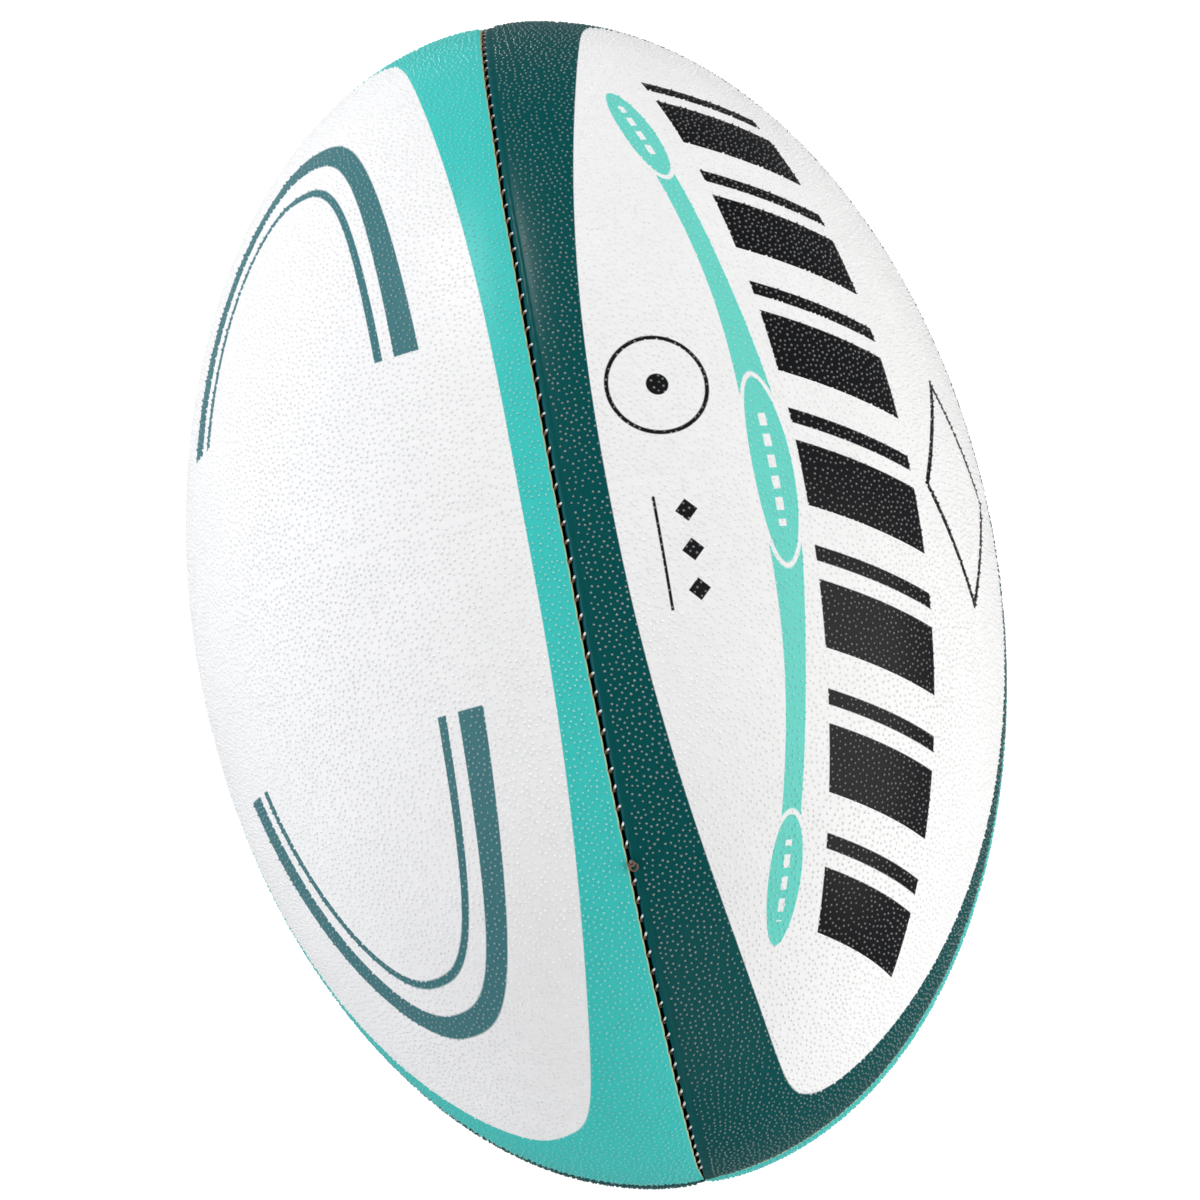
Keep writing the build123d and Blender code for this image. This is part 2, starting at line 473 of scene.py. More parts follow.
def newGroup(name, inputs, outputs):
    tree = bpy.data.node_groups.new(name, "ShaderNodeTree")
    for label, kind, value in inputs:
        socket = tree.interface.new_socket(label, in_out="INPUT", socket_type=kind)
        if value is not None:
            socket.default_value = value
    for label, kind in outputs:
        tree.interface.new_socket(label, in_out="OUTPUT", socket_type=kind)
    return tree, addNode(tree, "NodeGroupInput").outputs, addNode(tree, "NodeGroupOutput").inputs


def useGroup(tree, group, **values):
    node = addNode(tree, "ShaderNodeGroup", node_tree=group)
    for label, value in values.items():
        feed(tree, node.inputs[label], value)
    return node.outputs


def linear(red, green, blue):
    # a colour given as on a screen, from 0 to 255
    parts = [part / 255 for part in (red, green, blue)]
    parts = [part / 12.92 if part <= 0.04045 else ((part + 0.055) / 1.055) ** 2.4 for part in parts]
    return (*parts, 1.0)


floatIn, colourIn, vectorIn = "NodeSocketFloat", "NodeSocketColor", "NodeSocketVector"
wholeIn, materialIn = "NodeSocketInt", "NodeSocketMaterial"

# shared shader groups


def makeRoundedField():
    # a rounded outline: 0 in its middle, 1 on its edge
    tree, give, take = newGroup(
        "roundedField",
        [("Across", floatIn, 0), ("Along", floatIn, 0),
         ("Half Across", floatIn, 40), ("Half Along", floatIn, 150),
         ("Square Across", floatIn, 2.5), ("Square Along", floatIn, 2.5)],
        [("Level", floatIn)])
    parts = []
    for way in ("Across", "Along"):
        share = over(tree, unsigned(tree, give[way]), give["Half " + way])
        parts.append(calc(tree, "POWER", share, give["Square " + way]))
    feed(tree, take["Level"], plus(tree, *parts))
    return tree


roundedField = makeRoundedField()


def makePanelPlace():
    # turns the panel's map into degrees across and millimetres along
    tree, give, take = newGroup(
        "panelPlace", [("Map", vectorIn, None)], [("Across", floatIn), ("Along", floatIn)])
    parts = addNode(tree, "ShaderNodeSeparateXYZ")
    feed(tree, parts.inputs[0], give["Map"])
    for label, value, span in zip(("Across", "Along"), parts.outputs, mapForm.values()):
        feed(tree, take[label], times(tree, minus(tree, value, 0.5), span))
    return tree


panelPlace = makePanelPlace()


def fieldMask(tree, across, along, halfAcross, halfAlong, squareAcross, squareAlong, blur=0.008):
    level = useGroup(tree, roundedField, **{
        "Across": across, "Along": along, "Half Across": halfAcross, "Half Along": halfAlong,
        "Square Across": squareAcross, "Square Along": squareAlong})["Level"]
    return within(tree, level, 1.0, blur)


inks = {
    "white": linear(235, 235, 236),
    "lightTeal": linear(61, 193, 187),
    "darkTeal": linear(0, 76, 77),
    "black": linear(22, 23, 26),
    "mutedTeal": linear(66, 118, 124),
    "stripeTeal": linear(104, 208, 196),
}
millimetresPerDegree = 1.69  # across the widest part of a panel
softEdge = 0.25  # mm

lightPrint = {
    "halfAcross": 40.2, "halfAlong": 148.0, "squareAcross": 2.7, "squareAlong": 2.6,
    "archCentre": 3.5, "archStart": 42.0, "archSquare": 2.4, "archEdge": 0.012,
    "arches": ((27.0, 114.0, 6.5), (21.4, 100.0, 2.2)),  # half across, half along and width of each
}


def makeLightPrint():
    # light teal border, white field, and a pair of plain arches on each half
    tree, give, take = newGroup(
        "lightBorderPrint",
        [("Across", floatIn, 0), ("Along", floatIn, 0), ("White", colourIn, inks["white"]),
         ("Border", colourIn, inks["lightTeal"]), ("Arches", colourIn, inks["mutedTeal"])],
        [("Color", colourIn), ("Ink", floatIn)])
    across, along, form = give["Across"], give["Along"], lightPrint
    field = fieldMask(tree, across, along, form["halfAcross"], form["halfAlong"],
                      form["squareAcross"], form["squareAlong"])
    offArch = minus(tree, across, form["archCentre"])
    shape = (form["archSquare"], form["archSquare"], form["archEdge"])
    arches = []
    for halfAcross, halfAlong, width in form["arches"]:
        outer = fieldMask(tree, offArch, along, halfAcross, halfAlong, *shape)
        innerAcross = halfAcross - width / millimetresPerDegree
        inner = fieldMask(tree, offArch, along, innerAcross, halfAlong - width, *shape)
        arches.append(butNot(tree, outer, inner))
    beyond = unlike(tree, within(tree, unsigned(tree, along), form["archStart"], softEdge))
    arch = both(tree, either(tree, *arches), beyond)
    colour = paint(tree, field, give["Border"], give["White"])
    feed(tree, take["Color"], paint(tree, arch, colour, give["Arches"]))
    feed(tree, take["Ink"], either(tree, arch, unlike(tree, field)))
    return tree


# each print has its own values, degrees across the panel and millimetres along it
fieldForm = {"halfAcross": 38.7, "halfAlong": 149.5, "square": 2.2, "centre": 0.5}
barForm = {
    "centre": -0.7, "half": 10.2, "flare": 1.6, "flareAlong": 115.0, "sideEdge": 0.15, "endEdge": 0.02,
    "period": 32.5, "pairs": 7, "shift": 2.0, "slant": 0.3, "thick": 15.5, "gap": 4.2, "thin": 3.6,
}
stripeForm = {
    "centre": -15.2, "bow": 4.3, "half": 1.3, "swell": 0.5, "reach": 93.0, "sideEdge": 0.12, "endEdge": 0.3,
    "flareHalf": 1.5, "flareLength": 34.0,  # the stripe widens towards the middle oval
}
ovalForm = {
    "halfAcross": 3.0, "endHalfAlong": 15.0, "middleHalfAlong": 22.0, "square": 2.0, "edge": 0.05,
    "rimAcross": 0.7, "rimAlong": 1.3, "dashHalf": 0.55, "dashPeriod": 5.0, "dashShare": 0.6,
    "dashEdge": 0.12, "dashReach": 0.62, "reachEdge": 0.1,
}
markForm = {
    "ringAcross": -29.0, "ringAlong": 22.0, "ringRadius": 11.6, "ringLine": 1.0, "dotRadius": 2.6,
    "diamondAcross": -28.5, "diamondPlaces": (-8.0, -17.0, -26.0), "diamondSize": 2.6,
    "lineAcross": -32.6, "lineAlong": -17.0, "lineReach": 13.0, "lineHalf": 0.35,
    "lineEdge": 0.2, "lineEndEdge": 0.3,
    "frameAcross": 22.5, "frameAlong": -2.0, "frameHalfAcross": 16.0, "frameHalfAlong": 27.0,
    "frameLine": 0.11, "frameEdge": 0.02,
}


def offAcross(tree, across, centre):
    # millimetres across from this many degrees
    return times(tree, minus(tree, across, centre), millimetresPerDegree)


def slantedBars(tree, across, along, form):
    # thick and thin in turn
    share = over(tree, along, form["flareAlong"])
    half = calc(tree, "MULTIPLY_ADD", squared(tree, unsigned(tree, share)), form["flare"], form["half"])
    fromMiddle = apart(tree, across, form["centre"])
    inBand = within(tree, minus(tree, fromMiddle, half), 0.0, form["sideEdge"])
    slanted = calc(tree, "MULTIPLY_ADD", offAcross(tree, across, form["centre"]), form["slant"], along)
    slanted = minus(tree, slanted, form["shift"])
    bandHalf = form["pairs"] * form["period"] / 2
    turns = over(tree, plus(tree, slanted, bandHalf + form["period"]), form["period"])
    step = times(tree, calc(tree, "FRACT", turns), form["period"])
    thick = within(tree, step, form["thick"], softEdge)
    thinMiddle = form["thick"] + form["gap"] + form["thin"] / 2
    thin = within(tree, apart(tree, step, thinMiddle), form["thin"] / 2, softEdge)
    inReach = within(tree, unsigned(tree, slanted), bandHalf, form["endEdge"])
    return both(tree, either(tree, thick, thin), inBand, inReach)


def bowedStripe(tree, across, along, form, oval):
    # bows beside the bars, with three ovals on it
    bow = squared(tree, unsigned(tree, over(tree, along, form["reach"])))
    offStripe = minus(tree, across, form["centre"])
    offStripe = plus(tree, offStripe, times(tree, bow, form["bow"]))
    away = unsigned(tree, offStripe)
    width = calc(tree, "MULTIPLY_ADD", bow, form["swell"], form["half"])
    nearMiddle = squared(tree, over(tree, along, form["flareLength"]))
    flare = calc(tree, "EXPONENT", times(tree, nearMiddle, -1.0))
    width = calc(tree, "MULTIPLY_ADD", flare, form["flareHalf"], width)
    stripe = within(tree, minus(tree, away, width), 0.0, form["sideEdge"])
    stripe = both(tree, stripe, within(tree, unsigned(tree, along), form["reach"], form["endEdge"]))
    shape = (oval["square"], oval["square"], oval["edge"])
    ovals, rims, labels = [], [], []
    for place, halfAlong in ((0.0, oval["middleHalfAlong"]), (-form["reach"], oval["endHalfAlong"]),
                             (form["reach"], oval["endHalfAlong"])):
        offAlong = minus(tree, along, place)
        ovals.append(fieldMask(tree, offStripe, offAlong, oval["halfAcross"], halfAlong, *shape))
        rims.append(fieldMask(tree, offStripe, offAlong, oval["halfAcross"] + oval["rimAcross"],
                              halfAlong + oval["rimAlong"], *shape))
        labelHalf = halfAlong * oval["dashReach"]
        labels.append(within(tree, unsigned(tree, offAlong), labelHalf, oval["reachEdge"]))
    turns = over(tree, plus(tree, along, 200 * oval["dashPeriod"]), oval["dashPeriod"])
    dash = within(tree, calc(tree, "FRACT", turns), oval["dashShare"], oval["edge"])
    dashes = both(tree, within(tree, away, oval["dashHalf"], oval["dashEdge"]), dash, either(tree, *labels))
    ovals = butNot(tree, either(tree, *ovals), dashes)
    return either(tree, butNot(tree, stripe, either(tree, *rims)), ovals)


def plainMarks(tree, across, along, form):
    # a ring with a dot, three small diamonds beside a line, and a thin outline diamond
    fromRing = calc(tree, "SQRT", plus(tree, squared(tree, offAcross(tree, across, form["ringAcross"])),
                                       squared(tree, minus(tree, along, form["ringAlong"]))))
    ring = within(tree, apart(tree, fromRing, form["ringRadius"]), form["ringLine"] / 2, softEdge)
    marks = [ring, within(tree, fromRing, form["dotRadius"], softEdge)]
    fromDiamonds = unsigned(tree, offAcross(tree, across, form["diamondAcross"]))
    for place in form["diamondPlaces"]:
        near = plus(tree, fromDiamonds, apart(tree, along, place))
        marks.append(within(tree, near, form["diamondSize"], softEdge))
    fromLine = unsigned(tree, offAcross(tree, across, form["lineAcross"]))
    line = within(tree, fromLine, form["lineHalf"], form["lineEdge"])
    lineEnds = within(tree, apart(tree, along, form["lineAlong"]), form["lineReach"], form["lineEndEdge"])
    marks.append(both(tree, line, lineEnds))
    fromFrame = unsigned(tree, offAcross(tree, across, form["frameAcross"]))
    level = plus(tree, over(tree, fromFrame, form["frameHalfAcross"]),
                 over(tree, apart(tree, along, form["frameAlong"]), form["frameHalfAlong"]))
    marks.append(within(tree, apart(tree, level, 1.0), form["frameLine"] / 2, form["frameEdge"]))
    return marks


def makeDarkPrint():
    # dark teal border, white field, slanted bars, a light stripe and a few plain marks
    tree, give, take = newGroup(
        "darkBorderPrint",
        [("Across", floatIn, 0), ("Along", floatIn, 0), ("White", colourIn, inks["white"]),
         ("Border", colourIn, inks["darkTeal"]), ("Bars", colourIn, inks["black"]),
         ("Stripe", colourIn, inks["stripeTeal"])],
        [("Color", colourIn), ("Ink", floatIn)])
    across, along, form = give["Across"], give["Along"], fieldForm
    field = fieldMask(tree, minus(tree, across, form["centre"]), along,
                      form["halfAcross"], form["halfAlong"], form["square"], form["square"])
    stripe = bowedStripe(tree, across, along, stripeForm, ovalForm)
    bars = slantedBars(tree, across, along, barForm)
    dark = either(tree, bars, *plainMarks(tree, across, along, markForm))
    colour = paint(tree, field, give["Border"], give["White"])
    colour = paint(tree, stripe, colour, give["Stripe"])
    feed(tree, take["Color"], paint(tree, dark, colour, give["Bars"]))
    feed(tree, take["Ink"], either(tree, dark, stripe, unlike(tree, field)))
    return tree


def makeRubberGrain():
    # fine moulding grain for bump, and slow patches for colour and gloss
    tree, give, take = newGroup(
        "rubberGrain", [("Place", vectorIn, None), ("Grain", floatIn, 5000), ("Patches", floatIn, 60)],
        [("Height", floatIn), ("Patch", floatIn)])
    for label, size, detail in (("Height", "Grain", 2.0), ("Patch", "Patches", 3.0)):
        noise = addNode(tree, "ShaderNodeTexNoise")
        feed(tree, noise.inputs["Vector"], give["Place"])
        feed(tree, noise.inputs["Scale"], give[size])
        noise.inputs["Detail"].default_value = detail
        feed(tree, take[label], noise.outputs[0])
    return tree


def makeWeave():
    # over and under threads, laid round the ball and along it
    tree, give, take = newGroup(
        "clothWeave", [("Place", vectorIn, None), ("Threads per mm", floatIn, 1.6)],
        [("Height", floatIn), ("Thread", floatIn)])
    parts = addNode(tree, "ShaderNodeSeparateXYZ")
    feed(tree, parts.inputs[0], give["Place"])
    turn = calc(tree, "ARCTAN2", parts.outputs[0], parts.outputs[2])
    waves = []
    for value, size in ((turn, ballForm["halfWidth"]), (parts.outputs[1], 1.0)):
        phase = times(tree, value, size / mm * math.pi)
        waves.append(calc(tree, "SINE", times(tree, phase, give["Threads per mm"])))
    height = times(tree, *waves)
    feed(tree, take["Height"], calc(tree, "MULTIPLY_ADD", height, 0.5, 0.5))
    feed(tree, take["Thread"], unsigned(tree, waves[0]))
    return tree


lightBorderPrint = makeLightPrint()
darkBorderPrint = makeDarkPrint()
rubberGrain = makeRubberGrain()
clothWeave = makeWeave()
print("shader groups built")


# materials
def newMaterial(name):
    material = bpy.data.materials.new(name)
    material.use_nodes = True
    tree = material.node_tree
    place = addNode(tree, "ShaderNodeTexCoord").outputs["Object"]
    return material, tree, tree.nodes["Principled BSDF"].inputs, place


def addBump(tree, shader, height, strength, distance):
    bump = addNode(tree, "ShaderNodeBump")
    bump.inputs["Strength"].default_value = strength
    bump.inputs["Distance"].default_value = distance
    feed(tree, bump.inputs["Height"], height)
    feed(tree, shader["Normal"], bump.outputs[0])


def setValues(shader, values):
    for label, value in values.items():
        shader[label].default_value = value


skinFinish = {
    "roughness": 0.3, "inkRoughness": 0.27, "patchRoughness": 0.08, "patchColour": 0.05,
    "grooveShadeColour": linear(12, 15, 16), "grooveStart": 0.12, "grooveEdge": 0.15,
    "rimStart": 0.72, "rimEdge": 0.3,
    "grainStrength": 0.25, "grainDistance": 0.03 * mm,
    "tipHighlightColour": linear(250, 253, 252), "tipHighlight": 0.24,  # painted highlight: the pimples' tops are painted paler
    "tipCoat": 1.0,  # and only the pimples are glossy
    "gloss": {"Specular IOR Level": 0.12, "Coat Roughness": 0.17, "Coat IOR": 1.55},
}


def skinMaterial(name, design, rimBackingAndSheen, rimAmount):
    material, tree, shader, place = newMaterial(name)
    finish = skinFinish
    panelMap = addNode(tree, "ShaderNodeUVMap", uv_map="panelMap").outputs[0]
    spot = useGroup(tree, panelPlace, Map=panelMap)
    printed = useGroup(tree, design, Across=spot["Across"], Along=spot["Along"])
    grain = useGroup(tree, rubberGrain, Place=place)
    rim = addNode(tree, "ShaderNodeAttribute", attribute_name="rim").outputs["Fac"]
    fromGroove = unlike(tree, rim)
    # painted shade: down the turned-in edges and on the inside, in the seam groove, the colour goes near-black
    groove = within(tree, fromGroove, finish["grooveStart"], finish["grooveEdge"])
    # the roll is tinted: the light panel with the tan of its unprinted backing, the dark panel with a lighter
    # blue-teal that is a painted highlight
    onRimBackingAndSheen = times(tree, within(tree, fromGroove, finish["rimStart"], finish["rimEdge"]), rimAmount)
    patchTone = calc(tree, "MULTIPLY_ADD", grain["Patch"], finish["patchColour"], 1 - finish["patchColour"] / 2)
    toned = addNode(tree, "ShaderNodeVectorMath", operation="SCALE")
    feed(tree, toned.inputs[0], printed["Color"])
    feed(tree, toned.inputs["Scale"], patchTone)
    tip = addNode(tree, "ShaderNodeAttribute", attribute_name="tip").outputs["Fac"]
    # painted highlight: each pimple's top is mixed towards near-white
    tipHighlightShare = times(tree, squared(tree, tip), finish["tipHighlight"])
    highlighted = paint(tree, tipHighlightShare, toned.outputs[0], finish["tipHighlightColour"])
    rimmed = paint(tree, onRimBackingAndSheen, highlighted, rimBackingAndSheen)
    feed(tree, shader["Base Color"], paint(tree, groove, rimmed, finish["grooveShadeColour"]))
    inkChange = finish["inkRoughness"] - finish["roughness"]
    rough = calc(tree, "MULTIPLY_ADD", printed["Ink"], inkChange, finish["roughness"])
    feed(tree, shader["Roughness"], calc(tree, "MULTIPLY_ADD", grain["Patch"], finish["patchRoughness"], rough))
    feed(tree, shader["Coat Weight"], times(tree, tip, finish["tipCoat"]))
    setValues(shader, finish["gloss"])
    addBump(tree, shader, grain["Height"], finish["grainStrength"], finish["grainDistance"])
    return material


# the dark panel's rim colour is a painted highlight, a lit line along its roll
lightSkin = skinMaterial("light_border_rubber", lightBorderPrint, linear(214, 196, 132), 0.7)
darkSkin = skinMaterial("dark_border_rubber", darkBorderPrint, linear(10, 96, 108), 0.5)


waxFinish = {
    "grain": 2600, "patches": 900, "dark": linear(56, 44, 38), "light": linear(132, 98, 76),
    "pale": linear(232, 234, 234), "glintStart": 0.62, "glintEdge": 0.12,  # painted highlight: near-white where the thread rises over the dark panel's roll
    "roughness": 0.2, "grainRoughness": 0.2, "grainStrength": 0.6, "grainDistance": 0.08 * mm,
    "gloss": {"Coat Weight": 0.5, "Coat Roughness": 0.12},
}


def threadMaterial(finish):
    material, tree, shader, place = newMaterial("waxed_thread")
    grain = useGroup(tree, rubberGrain, Place=place, Grain=finish["grain"], Patches=finish["patches"])
    runOut = addNode(tree, "ShaderNodeAttribute", attribute_name="runOut").outputs["Fac"]
    waxed = paint(tree, grain["Patch"], finish["dark"], finish["light"])
    # painted highlight: the last part of each thread, over the dark panel's roll, is near-white
    paintedGlint = unlike(tree, within(tree, runOut, finish["glintStart"], finish["glintEdge"]))
    feed(tree, shader["Base Color"], paint(tree, paintedGlint, waxed, finish["pale"]))
    rough = calc(tree, "MULTIPLY_ADD", grain["Height"], finish["grainRoughness"], finish["roughness"])
    feed(tree, shader["Roughness"], rough)
    setValues(shader, finish["gloss"])
    addBump(tree, shader, grain["Height"], finish["grainStrength"], finish["grainDistance"])
    return material


clothFinish = {
    "dark": linear(196, 186, 160), "light": linear(226, 219, 200), "roughness": 0.9, "crownRoughness": -0.2,
    "weaveStrength": 0.8, "weaveDistance": 0.12 * mm,
}


def fabricMaterial(finish):
    material, tree, shader, place = newMaterial("laminated_polycotton")
    weave = useGroup(tree, clothWeave, Place=place)
    feed(tree, shader["Base Color"], paint(tree, weave["Thread"], finish["dark"], finish["light"]))
    rough = calc(tree, "MULTIPLY_ADD", weave["Height"], finish["crownRoughness"], finish["roughness"])
    feed(tree, shader["Roughness"], rough)
    addBump(tree, shader, weave["Height"], finish["weaveStrength"], finish["weaveDistance"])
    return material


mouldedFinish = {"patchRoughness": 0.2, "grainStrength": 0.3, "grainDistance": 0.05 * mm}


def rubberMaterial(name, dark, light, roughness, grainSize, patchSize):
    material, tree, shader, place = newMaterial(name)
    finish = mouldedFinish
    grain = useGroup(tree, rubberGrain, Place=place, Grain=grainSize, Patches=patchSize)
    feed(tree, shader["Base Color"], paint(tree, grain["Patch"], dark, light))
    rough = calc(tree, "MULTIPLY_ADD", grain["Patch"], finish["patchRoughness"], roughness)
    feed(tree, shader["Roughness"], rough)
    addBump(tree, shader, grain["Height"], finish["grainStrength"], finish["grainDistance"])
    return material


thread = threadMaterial(waxFinish)
fabric = fabricMaterial(clothFinish)
latex = rubberMaterial("bladder_latex_rubber", linear(176, 128, 78), linear(206, 160, 104), 0.35, 1500, 40)
valveRubber = rubberMaterial("valve_black_rubber", linear(24, 24, 25), linear(38, 38, 40), 0.45, 2500, 120)
plugRubber = rubberMaterial("valve_plug_rubber", linear(120, 44, 36), linear(146, 58, 46), 0.4, 2500, 120)
print("materials built")


# geometry nodes
def newTree(name, inputs):
    tree = bpy.data.node_groups.new(name, "GeometryNodeTree")
    tree.interface.new_socket("Geometry", in_out="INPUT", socket_type="NodeSocketGeometry")
    for label, kind, value in inputs:
        socket = tree.interface.new_socket(label, in_out="INPUT", socket_type=kind)
        if value is not None:
            socket.default_value = value
    tree.interface.new_socket("Geometry", in_out="OUTPUT", socket_type="NodeSocketGeometry")
    return tree, addNode(tree, "NodeGroupInput").outputs, addNode(tree, "NodeGroupOutput").inputs


def markPoints(tree, geometry, label, value):
    # keeps a number on every point, for the material to read
    mark = addNode(tree, "GeometryNodeStoreNamedAttribute", data_type="FLOAT", domain="POINT")
    feed(tree, mark.inputs["Geometry"], geometry)
    mark.inputs["Name"].default_value = label
    feed(tree, shown(mark.inputs, "Value"), value)
    return mark.outputs[0]


def randomBetween(tree, low, high, seed):
    draw = addNode(tree, "FunctionNodeRandomValue", data_type="FLOAT")
    for label, value in (("Min", low), ("Max", high), ("Seed", seed)):
        feed(tree, shown(draw.inputs, label), value)
    return shown(draw.outputs, "Value")


def sizeBetween(tree, variation, seed):
    return randomBetween(tree, unlike(tree, variation), plus(tree, 1.0, variation), seed)


def placeCopies(tree, give, take, points, shape, rotation, size):
    # a copy on each point, made real, smooth and given the material
    copies = addNode(tree, "GeometryNodeInstanceOnPoints")
    for label, value in (("Points", points), ("Instance", shape), ("Rotation", rotation), ("Scale", size)):
        feed(tree, copies.inputs[label], value)
    real = addNode(tree, "GeometryNodeRealizeInstances")
    smooth = addNode(tree, "GeometryNodeSetShadeSmooth")
    coat = addNode(tree, "GeometryNodeSetMaterial")
    feed(tree, real.inputs[0], copies.outputs[0])
    feed(tree, smooth.inputs[0], real.outputs[0])
    feed(tree, coat.inputs["Geometry"], smooth.outputs[0])
    feed(tree, coat.inputs["Material"], give["Material"])
    feed(tree, take["Geometry"], coat.outputs[0])


def applyTree(base, tree, values, name):
    # runs the tree on the base and keeps the result as a plain mesh
    modifier = base.modifiers.new(tree.name, "NODES")
    modifier.node_group = tree
    for item in tree.interface.items_tree:
        if item.item_type == "SOCKET" and item.in_out == "INPUT" and item.name in values:
            modifier[item.identifier] = values[item.name]
    bpy.context.view_layer.update()
    depsgraph = bpy.context.evaluated_depsgraph_get()
    mesh = bpy.data.meshes.new_from_object(base.evaluated_get(depsgraph), depsgraph=depsgraph)
    base.modifiers.remove(modifier)
    bpy.data.objects.remove(base)
    mesh.name = name
    return linkObject(name, mesh)


def addObject(name, points, faces):
    mesh = bpy.data.meshes.new(name)
    mesh.from_pydata(points, [], faces)
    return linkObject(name, mesh)


gripForm = {
    "spacing": 1.16 * mm, "width": 0.88 * mm, "height": 0.38 * mm, "topShare": 0.26, "sunk": 0.05 * mm,
    "sides": 5, "variation": 0.15, "candidates": 4.0e6, "seed": 5,
    "seamMargin": {"light": 1.5 * mm, "dark": 2.7 * mm}, "tipMargin": 0.5 * mm,
    "carrierRings": 110, "carrierColumns": 41, "leastRing": 1.6,  # in seam margins
}


def pimpleTree():
    sizes = [(key.capitalize(), floatIn, gripForm[key]) for key in ("spacing", "candidates", "width", "height")]
    tree, give, take = newTree("gripPimples", [
        *sizes, ("Sides", wholeIn, gripForm["sides"]), ("Variation", floatIn, gripForm["variation"]),
        ("Seed", wholeIn, 0), ("Material", materialIn, None)])
    scatter = addNode(tree, "GeometryNodeDistributePointsOnFaces", distribute_method="POISSON")
    feed(tree, shown(scatter.inputs, "Mesh"), give["Geometry"])
    feed(tree, shown(scatter.inputs, "Distance Min"), give["Spacing"])
    feed(tree, shown(scatter.inputs, "Density Max"), give["Candidates"])
    feed(tree, shown(scatter.inputs, "Seed"), give["Seed"])
    cone = addNode(tree, "GeometryNodeMeshCone", fill_type="NGON")
    feed(tree, cone.inputs["Vertices"], give["Sides"])
    feed(tree, cone.inputs["Radius Bottom"], times(tree, give["Width"], 0.5))
    feed(tree, cone.inputs["Radius Top"], times(tree, give["Width"], 0.5 * gripForm["topShare"]))
    feed(tree, cone.inputs["Depth"], give["Height"])
    frustum = addNode(tree, "GeometryNodeDeleteGeometry", domain="FACE")
    feed(tree, frustum.inputs["Geometry"], cone.outputs["Mesh"])
    feed(tree, frustum.inputs["Selection"], cone.outputs["Bottom"])
    level = addNode(tree, "ShaderNodeSeparateXYZ")
    feed(tree, level.inputs[0], addNode(tree, "GeometryNodeInputPosition").outputs[0])
    height = over(tree, level.outputs[2], give["Height"])
    sink = addNode(tree, "GeometryNodeTransform")
    feed(tree, sink.inputs["Geometry"], markPoints(tree, frustum.outputs[0], "tip", height))
    feed(tree, sink.inputs["Translation"], (0, 0, -gripForm["sunk"]))
    size = sizeBetween(tree, give["Variation"], give["Seed"])
    placeCopies(tree, give, take, scatter.outputs["Points"], sink.outputs[0], scatter.outputs["Rotation"], size)
    return tree


gripPimples = pimpleTree()


def gripCarrier(side, low, high):
    # the open part of one half of a panel, where the pimples stand
    turn, margin = panelTurn[side], gripForm["seamMargin"][panelTone[side]]
    along = np.linspace(low, high, gripForm["carrierRings"])
    along = along[ringAt(along)[0] > gripForm["leastRing"] * margin]
    radius = ringAt(along)[0]
    edge = np.arcsin(margin / radius)
    shares = np.linspace(0, 1, gripForm["carrierColumns"])[:, None]
    azimuth = edge + (math.pi / 2 - 2 * edge) * shares
    away = np.minimum(radius * np.sin(azimuth), radius * np.cos(azimuth))
    rows, columns = azimuth.shape
    points = placeOn(np.broadcast_to(along, azimuth.shape), azimuth + math.radians(turn), valleyAt(away))
    faces = []
    for row in range(rows - 1):
        for column in range(columns - 1):
            first = row * columns + column
            faces.append((first, first + columns, first + columns + 1, first + 1))
    carrier = addObject("carrier", points.reshape(-1, 3).tolist(), faces)
    out = outwardAt(along[:1], azimuth[0, :1] + math.radians(turn))[0]
    if np.dot(np.array(carrier.data.polygons[0].normal), out) < 0:
        carrier.data.flip_normals()
    return carrier


def buildGrip(side, material):
    pieces = []
    turn = panelTurn[side]
    reach, gap = seamEnd - gripForm["tipMargin"], 0.5 * gripForm["spacing"]
    for half, low, high in (("near", -reach, -gap), ("far", gap, reach)):
        values = {"Seed": gripForm["seed"] + turn + (half == "far"), "Material": material}
        piece = applyTree(gripCarrier(side, low, high), gripPimples, values, "grip_" + side + "_" + half)
        points = np.zeros(len(piece.data.vertices) * 3)
        piece.data.vertices.foreach_get("co", points)
        along, azimuth = readPlace(points.reshape(-1, 3))
        mapAcross, mapAlong = panelMapOf(along, azimuth, turn)
        perVertex = np.stack([mapAcross, mapAlong], axis=-1)
        for layer in list(piece.data.uv_layers):
            piece.data.uv_layers.remove(layer)
        halfSpan = seamEnd / mm / mapForm["millimetresAlong"]
        start = 0.5 if half == "far" else 0.5 - halfSpan
        margin = bakeForm["margin"]
        bakeAcross = (mapAcross - 0.5) * bakeForm["gripSpread"] + 0.5
        bakeAlong = margin + (mapAlong - start) * (1 - 2 * margin) / halfSpan
        bake = np.stack([bakeAcross, bakeAlong], axis=-1)
        fillMaps(piece.data, perVertex, bake[cornersOf(piece.data)])
        pieces.append(piece)
    return pieces


# panels
panelFinish = {
    "upper_right": (darkSkin, "skin_dark_border"),
    "lower_right": (lightSkin, "skin_light_border"),
    "lower_left": (darkSkin, "skin_dark_border"),
    "upper_left": (lightSkin, "skin_light_border"),
}
for side, (material, slotName) in panelFinish.items():
    panel = buildPanel(side)
    panel.data.materials.append(material)
    grips = buildGrip(side, material)
    for piece in [panel, *grips]:
        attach(piece, "root")
    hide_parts("skin_" + side)
    onGrips = sum(len(grip.data.polygons) for grip in grips)
    print("panel", side, len(panel.data.polygons), "faces,", onGrips, "on its pimples")


# stitches
threadForm = {
    "radius": 0.27 * mm, "sides": 6, "steps": 8, "endMargin": 7.0 * mm, "valveSpace": 5.0 * mm,
    "wobble": 14.0, "variation": 0.12, "seed": 3, "courseStep": 0.1 * mm,
    # from under the light panel's edge, up across the groove and down into the dark panel's roll
    "path": {"Start": (-0.62, -0.85, -1.5), "Start Handle": (-0.5, -0.6, -0.05),
             "End Handle": (0.45, 0.35, 0.22), "End": (0.95, 0.8, -1.0)},
}


